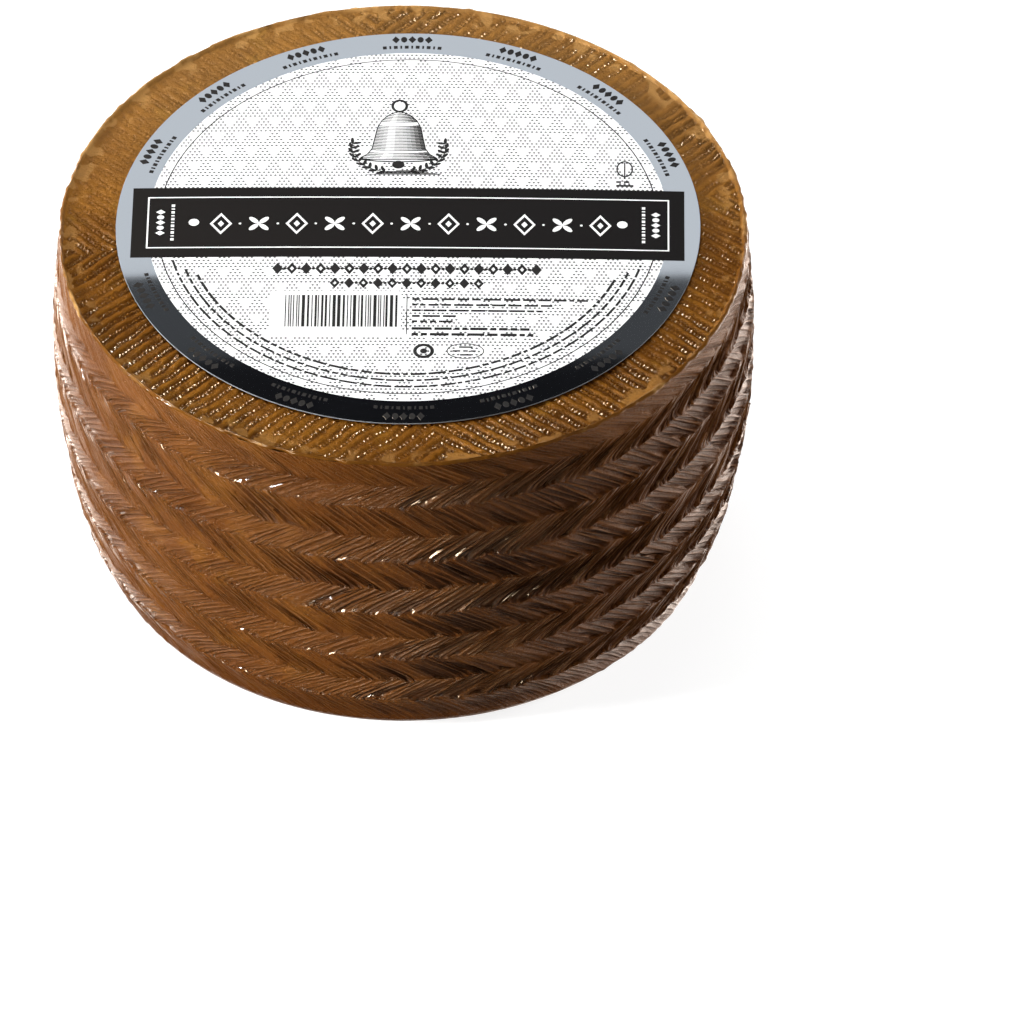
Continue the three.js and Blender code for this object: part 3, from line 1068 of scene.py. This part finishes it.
# draws flat shapes, gives them the ink's thickness and lays them on the domed label
def makePrint(name, draw, colour, lift):
    bm = bmesh.new()
    draw(bm)
    for face in bm.faces:
        if face.normal.z < 0:
            face.normal_flip()
    turned = Matrix.Rotation(radians(label["turn"]), 3, "Z")
    bmesh.ops.rotate(bm, verts=bm.verts, cent=(0, 0, 0), matrix=turned)
    bmesh.ops.solidify(bm, geom=bm.faces[:], thickness=ink["thickness"])
    for v in bm.verts:
        v.co.z += labelTop(v.co.xy.length) + lift
    bmesh.ops.scale(bm, verts=bm.verts, vec=(mm, mm, mm))
    bmesh.ops.translate(bm, verts=bm.verts, vec=(*labelCentre, 0))
    bmesh.ops.recalc_face_normals(bm, faces=bm.faces)
    f = Finish(bpy.data.materials.new(name + "_ink"))
    grain = f.speckle(f.objectPlace(), 900, 2.0)
    tone = f.mix(grain * 0.5, colour, tuple(0.75 * c + 0.02 for c in colour))
    material = f.close(Base_Color=tone, Roughness=0.4 + grain * 0.1, Specular_IOR_Level=0.02)
    piece = finishPiece(bm, name, material)
    piece.data.shade_flat()


print("label")
makeLabel(labelFinish())
makePrint("label_white", whitePrint, labelColours["paper"], 0.02)
makePrint("label_band_marks", bandPrint, labelColours["white"], 0.03)
makePrint("label_dark", darkPrint, labelColours["ink"], 0.05)


# Studio: pale floor and soft lights

studio = {
    "floorSize": 30.0,
    "floorTone": 0.3, "floorGlow": 0.85,
    "horizonTone": (0.66, 0.62, 0.58), "zenithTone": (0.009, 0.009, 0.010),
    # what shine finds below the horizon, towards the front and towards the back
    "lowFrontTone": (0.05, 0.04, 0.03), "lowBackTone": (6.0, 5.2, 4.6),
    # name: place, aim, width, height, watts
    "lamps": {
        "above": ((-0.08, 0.16, 0.95), (0, 0.02, 0.1), 0.7, 0.45, 4.5),
        "key": ((-0.35, 0.42, 1.0), (0, 0, 0.1), 0.08, 0.08, 5.0),
        "glint": ((-0.45, 0.30, 0.95), (0, 0, 0.1), 0.36, 0.36, 85),
        "sideGlint": ((-0.85, -0.72, 0.50), (0, 0, 0.06), 0.7, 0.3, 32),
        "back": ((0.0, 1.0, 0.55), (0, 0, 0.55), 2.2, 1.0, 5.0),
        "backHigh": ((0.0, 1.0, 1.09), (0, 0, 1.09), 2.2, 0.08, 0.032),
        "left": ((-1.05, -0.36, 0.34), (0, 0, 0.06), 0.15, 0.18, 29),
        "right": ((0.95, 0.10, 0.40), (0, 0, 0.05), 0.2, 0.4, 6.0),
    },
    "onlyShine": ("glint", "sideGlint"),      # these light nothing, and are seen in gloss alone
    "noShine": ("above", "right"),            # these light the wheel, and aren't seen in gloss
    "glintTone": (1.0, 0.80, 0.55),
}


def makeFloor():
    bm = bmesh.new()
    bmesh.ops.create_grid(bm, x_segments=1, y_segments=1, size=studio["floorSize"] / 2)
    mesh = bpy.data.meshes.new("floor")
    bm.to_mesh(mesh)
    bm.free()
    floor = bpy.data.objects.new("floor", mesh)
    bpy.context.scene.collection.objects.link(floor)
    f = Finish(bpy.data.materials.new("floor_pale"))
    tone = studio["floorTone"]
    mesh.materials.append(f.close(Base_Color=(tone, tone, tone), Roughness=0.9, Specular_IOR_Level=0.0,
                                  Emission_Color=(1.0, 1.0, 1.0), Emission_Strength=studio["floorGlow"]))
    floor.visible_glossy = False


def makeLamps():
    for name, (place, aim, width, height, watts) in studio["lamps"].items():
        lamp = bpy.data.objects.new(name, bpy.data.lights.new(name, "AREA"))
        bpy.context.scene.collection.objects.link(lamp)
        lamp.data.shape = "RECTANGLE"
        lamp.data.size, lamp.data.size_y = width, height
        lamp.data.energy = watts
        lamp.location = place
        lamp.rotation_mode = "QUATERNION"
        lamp.rotation_quaternion = (Vector(aim) - Vector(place)).to_track_quat("-Z", "Y")
        lamp.visible_camera = False
        lamp.visible_diffuse = name not in studio["onlyShine"]
        lamp.visible_glossy = name not in studio["noShine"]
        if name in studio["onlyShine"]:
            lamp.data.color = studio["glintTone"]


# soft surroundings: pale at the horizon, dark above, and bright low down at the back
def makeWorld():
    world = bpy.data.worlds.new("studio")
    bpy.context.scene.world = world
    f = Finish(world)
    direction = f.node("TexCoord")
    toRight, toBack, height = [f.axis(direction, number) for number in range(3)]
    tone = f.mix(f.ease(height, 0.05, 0.45), studio["horizonTone"], studio["zenithTone"])
    low = f.mix(f.ease(toBack + toRight * 0.45, -0.15, 0.9), studio["lowFrontTone"], studio["lowBackTone"])
    low = f.mix(f.ease(height, -0.93, -0.68), studio["lowFrontTone"], low)
    tone = f.mix(height.below(0), tone, low)
    f.node("OutputWorld", None, {"Surface": f.node("Background", None, {"Color": tone})})
    bpy.context.scene.view_settings.view_transform = "Standard"


print("studio")
makeFloor()
makeLamps()
makeWorld()
